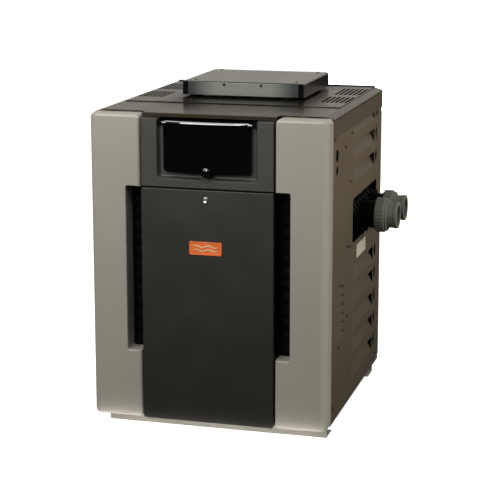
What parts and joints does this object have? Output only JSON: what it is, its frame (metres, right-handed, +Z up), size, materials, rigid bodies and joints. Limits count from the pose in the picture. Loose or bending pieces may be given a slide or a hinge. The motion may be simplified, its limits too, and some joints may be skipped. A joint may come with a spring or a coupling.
{
  "type": "gas pool heater",
  "caption": "Floor-standing gas pool heater: louvred steel cabinet on rails, tilt-out door, flip-up control cover, low vent cap on top and pipe unions on the right side.",
  "frame": {"origin": "on the floor, midway between the four anchor holes in the base rails", "axes": "+X to the right seen from the front, where the pipe unions point; +Y to the rear; +Z up"},
  "size_m": [0.65, 0.6336, 0.7926],
  "materials": {
    "rail_paint": "light grey powder coat",
    "galvanised": "galvanised sheet",
    "charcoal_paint": "charcoal satin powder coat",
    "jacket_paint": "dark bronze powder coat",
    "lid_paint": "dark bronze powder coat, weathered lighter",
    "black_paint": "matt black",
    "panel_paint": "warm grey satin",
    "charcoal_plastic": "charcoal satin moulding",
    "dark_screws": "painted over with the panel",
    "label": "blank off-white label",
    "badge_enamel": "red enamel plate without lettering",
    "chrome": "polished",
    "gloss_black": "high gloss black",
    "bright_steel": "plain steel",
    "display_plastic": "fine texture",
    "display_glass": "dark display window",
    "circuit_board": "green solder mask",
    "button_plastic": "light grey",
    "cap_paint": "grey-brown powder coat",
    "satin_steel": "satin steel",
    "ceramic_board": "refractory fibre board",
    "black_iron": "black iron pipe",
    "brass": "machined",
    "cast_aluminium": "die cast",
    "red_plastic": "moulded",
    "copper": "copper, dulled by heat",
    "header_plastic": "glass-filled black moulding",
    "rubber": "soft",
    "union_plastic": "grey moulded pipe fitting",
    "wire_sleeve": "braided sleeve"
  },
  "bodies": {
    "cabinet": {"front_rail": "rail_paint", "rear_rail": "rail_paint", "base_pan": "galvanised", "door_sill": "charcoal_paint", "left_side_panel": "jacket_paint", "right_side_panel": "jacket_paint", "rear_panel": "jacket_paint", "top_lid": "lid_paint", "top_vent_panel": "lid_paint", "inner_front_panel": "black_paint", "left_corner_panel": "panel_paint", "right_corner_panel": "panel_paint", "control_bezel": "charcoal_plastic", "side_louvres": "jacket_paint", "side_stiffeners": "black_paint", "cover_hinge_pins": "bright_steel", "display_housing": "display_plastic", "display_glass": "display_glass", "display_board": "circuit_board", "vent_cap": "cap_paint", "vent_cap_front": "satin_steel", "vent_cap_brackets": "black_paint", "jacket_screws": "dark_screws", "flue_collector": "galvanised", "combustion_chamber": "galvanised", "refractory_boards": "ceramic_board", "burner_tray": "galvanised", "burners": "bright_steel", "gas_manifold": "black_iron", "gas_orifices": "brass", "gas_valve": "cast_aluminium", "gas_inlet_pipe": "black_iron", "pilot_burner": "bright_steel", "heat_exchanger_tubes": "copper", "tube_fins": "copper", "tube_sheets": "galvanised", "heat_baffles": "bright_steel", "water_header": "header_plastic", "return_header": "header_plastic", "header_bolts": "bright_steel", "drain_plugs": "brass", "union_o_rings": "rubber", "front_connector": "union_plastic", "rear_connector": "union_plastic", "water_sensors": "brass", "control_shelf": "galvanised", "control_board": "circuit_board", "junction_box": "galvanised", "wire_harness": "wire_sleeve"},
    "door": {"front_door": "charcoal_paint", "badge": "badge_enamel"},
    "door_latch": {"door_latch": "chrome"},
    "cover": {"control_cover": "gloss_black"},
    "cover_latch": {"cover_latch": "gloss_black"},
    "button_mode": {"button_mode": "button_plastic"},
    "button_up": {"button_up": "button_plastic"},
    "button_down": {"button_down": "button_plastic"},
    "front_nut": {"front_union_nut": "union_plastic"},
    "rear_nut": {"rear_union_nut": "union_plastic"},
    "valve_knob": {"gas_valve_knob": "red_plastic"}
  },
  "joints": [
    {"name": "door_tilt", "type": "hinge", "parent": "cabinet", "child": "door", "pos_m": [0, -0.3345, 0.045], "axis": [1, 0, 0], "range_deg": [0, 25]},
    {"name": "door_latch_turn", "type": "hinge", "parent": "door", "child": "door_latch", "pos_m": [-0.002, -0.3335, 0.5597], "axis": [0, -1, 0], "range_deg": [0, 90]},
    {"name": "cover_flip", "type": "hinge", "parent": "cabinet", "child": "cover", "pos_m": [0, -0.3375, 0.73], "axis": [-1, 0, 0], "range_deg": [0, 100]},
    {"name": "cover_latch_turn", "type": "hinge", "parent": "cover", "child": "cover_latch", "pos_m": [0, -0.3435, 0.6228], "axis": [0, 1, 0], "range_deg": [0, 90]},
    {"name": "button_mode_press", "type": "slide", "parent": "cabinet", "child": "button_mode", "axis": [0, 1, 0], "range_m": [0, 0.0008], "stiffness_N_per_m": 300, "springref_m": -0.001},
    {"name": "button_up_press", "type": "slide", "parent": "cabinet", "child": "button_up", "axis": [0, 1, 0], "range_m": [0, 0.0008], "stiffness_N_per_m": 300, "springref_m": -0.001},
    {"name": "button_down_press", "type": "slide", "parent": "cabinet", "child": "button_down", "axis": [0, 1, 0], "range_m": [0, 0.0008], "stiffness_N_per_m": 300, "springref_m": -0.001},
    {"name": "front_nut_spin", "type": "hinge", "parent": "cabinet", "child": "front_nut", "pos_m": [0.329, 0.0395, 0.469], "axis": [1, 0, 0], "continuous": true},
    {"name": "rear_nut_spin", "type": "hinge", "parent": "cabinet", "child": "rear_nut", "pos_m": [0.329, 0.1415, 0.469], "axis": [1, 0, 0], "continuous": true},
    {"name": "valve_knob_turn", "type": "hinge", "parent": "cabinet", "child": "valve_knob", "pos_m": [-0.012, -0.2335, 0.184], "axis": [0, -1, 0], "range_deg": [0, 90]}
  ]
}
